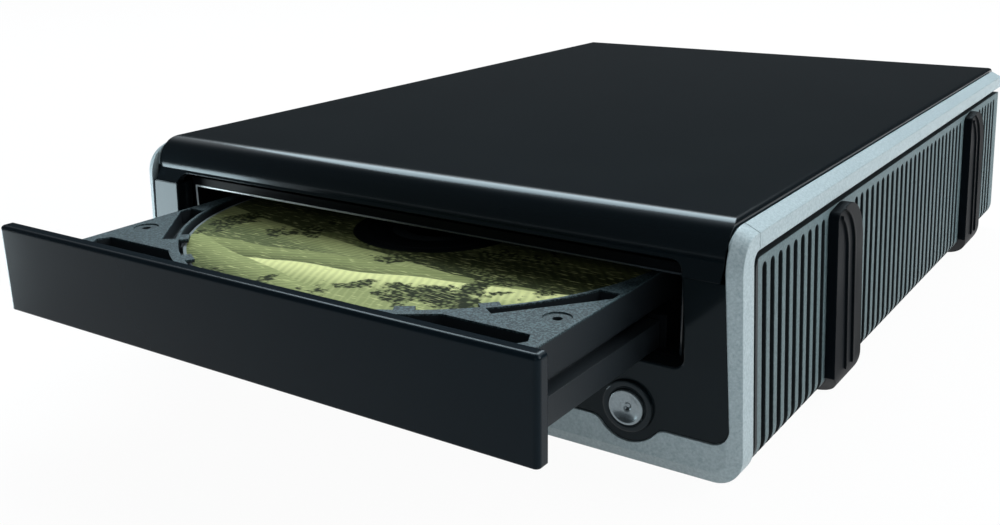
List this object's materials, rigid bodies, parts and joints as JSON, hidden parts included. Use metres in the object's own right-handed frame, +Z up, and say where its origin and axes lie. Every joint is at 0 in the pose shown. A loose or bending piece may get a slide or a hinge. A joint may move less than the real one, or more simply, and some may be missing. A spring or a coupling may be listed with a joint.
{
  "type": "external dvd drive",
  "caption": "Desktop external optical disc drive: black cover, silver trim, ribbed sides, rubber foot bands, tray slid half out with a printed disc.",
  "frame": {"origin": "centre of the box of the whole part in plan, with the tray half out, on the desk under the feet", "axes": "+X to the right seen from the front, +Y from the front to the back, +Z up"},
  "size_m": [0.1782, 0.2894, 0.0564],
  "materials": {
    "gloss_black": "polished black moulding",
    "silver_paint": "satin silver paint",
    "side_grey": "fine-textured dark grey plastic",
    "foot_rubber": "matt dark rubber",
    "black_plastic": "matt black plastic",
    "button_metal": "turned and satin plated",
    "tray_grey": "light grey, fine grain",
    "disc_face": "printed label over clear plastic",
    "sheet_steel": "zinc plated sheet",
    "dark_steel": "machined steel",
    "frame_black": "black engineering plastic",
    "gear_white": "natural white acetal",
    "belt_rubber": "black rubber",
    "board_green": "solder mask over glass epoxy",
    "chip_black": "moulded packages",
    "lens_glass": "coated lens",
    "damper_rubber": "soft rubber",
    "screw_zinc": "zinc plated",
    "connector_black": "moulded connector body",
    "jack_metal": "tinned shell"
  },
  "bodies": {
    "enclosure": {"front_frame": "silver_paint", "side_rail_right": "silver_paint", "side_rail_left": "silver_paint", "top_cover": "gloss_black", "front_panel": "gloss_black", "eject_switch": "chip_black", "switch_board": "board_green", "side_panel_right": "side_grey", "side_panel_left": "side_grey", "foot_front_right": "foot_rubber", "foot_front_left": "foot_rubber", "foot_rear_right": "foot_rubber", "foot_rear_left": "foot_rubber", "base_plate": "black_plastic", "rear_panel": "black_plastic", "mechanism_tub": "sheet_steel", "mechanism_lid": "sheet_steel", "loader_frame": "frame_black", "loading_motor": "dark_steel", "drive_belt": "belt_rubber", "spindle_motor": "dark_steel", "traverse_plate": "sheet_steel", "guide_rods": "dark_steel", "traverse_dampers": "damper_rubber", "lift_cradle": "frame_black", "cam_slider": "gear_white", "sled_motor": "dark_steel", "clamp_bridge": "sheet_steel", "drive_board": "board_green", "drive_board_parts": "chip_black", "board_standoffs": "screw_zinc", "bridge_board": "board_green", "bridge_board_parts": "chip_black", "drive_connector": "connector_black", "usb_socket": "jack_metal", "dc_jack": "connector_black", "power_switch": "connector_black", "base_screws": "screw_zinc", "board_screws": "screw_zinc"},
    "tray": {"disc_tray": "tray_grey", "tray_door": "gloss_black"},
    "disc": {"disc": "disc_face"},
    "button": {"eject_button": "button_metal"},
    "turntable": {"turntable": "dark_steel"},
    "clamp": {"clamp_puck": "frame_black"},
    "sled": {"pickup_sled": "frame_black", "pickup_lens": "lens_glass"},
    "screw": {"lead_screw": "dark_steel"},
    "tray_gear": {"tray_gear": "gear_white"},
    "belt_pulley": {"belt_pulley": "gear_white"},
    "motor_pulley": {"motor_pulley": "gear_white"},
    "rocker": {"power_rocker": "connector_black"}
  },
  "joints": [
    {"name": "tray_slide", "type": "slide", "parent": "enclosure", "child": "tray", "axis": [0, -1, 0], "range_m": [-0.0515, 0.09]},
    {"name": "disc_spin", "type": "hinge", "parent": "tray", "child": "disc", "pos_m": [0, -0.07525, 0.0394], "axis": [0, 0, 1], "continuous": true},
    {"name": "button_push", "type": "slide", "parent": "enclosure", "child": "button", "axis": [0, 1, 0], "range_m": [0, 0.0008], "stiffness_N_per_m": 400},
    {"name": "turntable_spin", "type": "hinge", "parent": "enclosure", "child": "turntable", "pos_m": [0, -0.02375, 0.034], "axis": [0, 0, 1], "continuous": true},
    {"name": "clamp_spin", "type": "hinge", "parent": "enclosure", "child": "clamp", "pos_m": [0, -0.02375, 0.045], "axis": [0, 0, 1], "continuous": true},
    {"name": "sled_slide", "type": "slide", "parent": "enclosure", "child": "sled", "axis": [0, 1, 0], "range_m": [0, 0.034]},
    {"name": "screw_spin", "type": "hinge", "parent": "enclosure", "child": "screw", "pos_m": [0.0335, 0.01675, 0.0278], "axis": [0, 1, 0], "range_deg": [-4081, 1]},
    {"name": "tray_gear_spin", "type": "hinge", "parent": "enclosure", "child": "tray_gear", "pos_m": [-0.043, -0.06925, 0.027], "axis": [0, 0, 1], "range_deg": [-296.1, 516.7]},
    {"name": "belt_pulley_spin", "type": "hinge", "parent": "enclosure", "child": "belt_pulley", "pos_m": [-0.0238, -0.06925, 0.022], "axis": [0, 0, 1], "range_deg": [-1548, 886.2]},
    {"name": "motor_pulley_spin", "type": "hinge", "parent": "enclosure", "child": "motor_pulley", "pos_m": [0.0005, -0.06925, 0.019], "axis": [0, 0, 1], "range_deg": [-6287.7, 3598.4]},
    {"name": "rocker_tilt", "type": "hinge", "parent": "enclosure", "child": "rocker", "pos_m": [0.016, 0.13875, 0.0216], "axis": [1, 0, 0], "range_deg": [-8, 0]}
  ],
  "couplings": [
    {"joint": "tray_gear_spin", "follows": "tray_slide", "rad_per_m": 100},
    {"joint": "belt_pulley_spin", "follows": "tray_slide", "rad_per_m": -300},
    {"joint": "motor_pulley_spin", "follows": "tray_slide", "rad_per_m": -1219.1},
    {"joint": "screw_spin", "follows": "sled_slide", "rad_per_m": -2094.4},
    {"joint": "clamp_spin", "follows": "turntable_spin", "ratio": 1}
  ]
}
